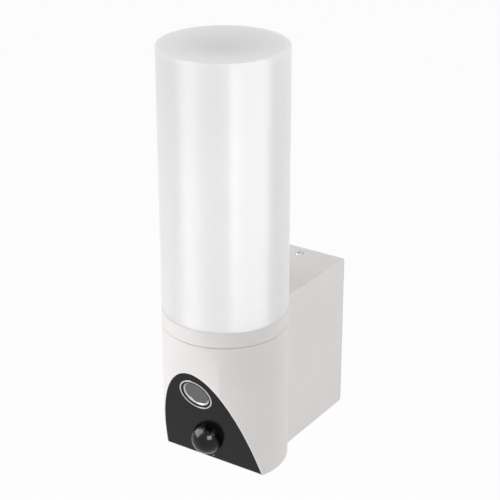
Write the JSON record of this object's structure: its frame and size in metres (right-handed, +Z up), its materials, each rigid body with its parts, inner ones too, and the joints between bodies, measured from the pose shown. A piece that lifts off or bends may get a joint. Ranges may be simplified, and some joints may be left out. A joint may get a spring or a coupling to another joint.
{
  "type": "floodlight security camera",
  "caption": "Wall lamp with an opal pillar diffuser over a slant-fronted camera and motion-sensor housing, on a wall box with a screw-locked bracket.",
  "frame": {"origin": "on the wall plane, midway between the bracket's two screw slots", "axes": "+Z up along the pillar, +Y into the wall, the camera faces -Y"},
  "size_m": [0.08, 0.1375, 0.274],
  "materials": {
    "opal": "gloss",
    "white": "satin",
    "black": "satin",
    "lens_black": "satin",
    "dome": "gloss",
    "silver": "polished",
    "glass": "gloss",
    "light_pipe": "gloss",
    "aluminium": "satin",
    "steel": "satin",
    "brass": "satin",
    "rubber": "matte",
    "pale_rubber": "matte",
    "board": "satin",
    "light_board": "satin",
    "electronics": "satin",
    "terminal": "satin",
    "winding": "satin"
  },
  "bodies": {
    "lamp": {"cable_grommet": "rubber", "camera_board": "board", "camera_ribbon": "winding", "capacitors": "electronics", "card_socket": "steel", "choke": "winding", "collar": "white", "collar_seal": "rubber", "column_cap": "white", "diffuser": "opal", "diffuser_seal": "pale_rubber", "driver_board": "board", "driver_screws": "steel", "earth_screw": "brass", "front_panel": "black", "head_screws": "steel", "image_sensor": "board", "lead_grommet": "rubber", "led_carrier": "aluminium", "led_chips": "light_board", "led_column": "aluminium", "led_strips": "light_board", "lens_barrel": "lens_black", "lens_bezel": "lens_black", "lens_element": "glass", "lens_holder": "lens_black", "lens_inner_ring": "silver", "lens_ring": "silver", "lens_window": "glass", "lock_nuts": "steel", "lower_housing": "white", "main_board": "board", "panel_gasket": "rubber", "panel_screws": "steel", "pir_dome": "dome", "pir_sensor": "steel", "reset_switch": "electronics", "saddle_screws": "steel", "sensor_board": "board", "shield_can": "steel", "speaker_basket": "steel", "speaker_cone": "rubber", "speaker_magnet": "steel", "speaker_mesh": "rubber", "status_chip": "light_board", "status_light": "light_pipe", "terminal_block": "terminal", "terminal_screws": "steel", "transformer": "winding", "wall_box": "white", "wall_bracket": "steel", "wall_seal": "pale_rubber", "wifi_antenna": "board"},
    "plug": {"service_plug": "pale_rubber"},
    "card": {"memory_card": "electronics"},
    "button": {"reset_button": "white"},
    "top_washer": {"lock_washer_top": "rubber"},
    "top_screw": {"locking_screw_top": "steel"},
    "bottom_washer": {"lock_washer_bottom": "rubber"},
    "bottom_screw": {"locking_screw_bottom": "steel"}
  },
  "joints": [
    {"name": "plug_pull", "type": "slide", "parent": "lamp", "child": "plug", "axis": [0, 0, -1], "range_m": [0, 0.015]},
    {"name": "card_eject", "type": "slide", "parent": "lamp", "child": "card", "axis": [0, 0, -1], "range_m": [0, 0.003]},
    {"name": "reset_press", "type": "slide", "parent": "lamp", "child": "button", "axis": [0, 0, 1], "range_m": [0, 0.0008], "stiffness_N_per_m": 1500},
    {"name": "top_screw_lift", "type": "slide", "parent": "lamp", "child": "top_washer", "axis": [0, 0, 1], "range_m": [0, 0.006]},
    {"name": "top_screw_turn", "type": "hinge", "parent": "top_washer", "child": "top_screw", "pos_m": [0, -0.0095, 0.054], "axis": [0, 0, 1], "range_deg": [0, 4330]},
    {"name": "bottom_screw_lift", "type": "slide", "parent": "lamp", "child": "bottom_washer", "axis": [0, 0, -1], "range_m": [0, 0.006]},
    {"name": "bottom_screw_turn", "type": "hinge", "parent": "bottom_washer", "child": "bottom_screw", "pos_m": [0, -0.0095, -0.054], "axis": [0, 0, -1], "range_deg": [0, 4330]}
  ],
  "couplings": [
    {"joint": "top_screw_turn", "follows": "top_screw_lift", "rad_per_m": 12566},
    {"joint": "bottom_screw_turn", "follows": "bottom_screw_lift", "rad_per_m": 12566}
  ]
}
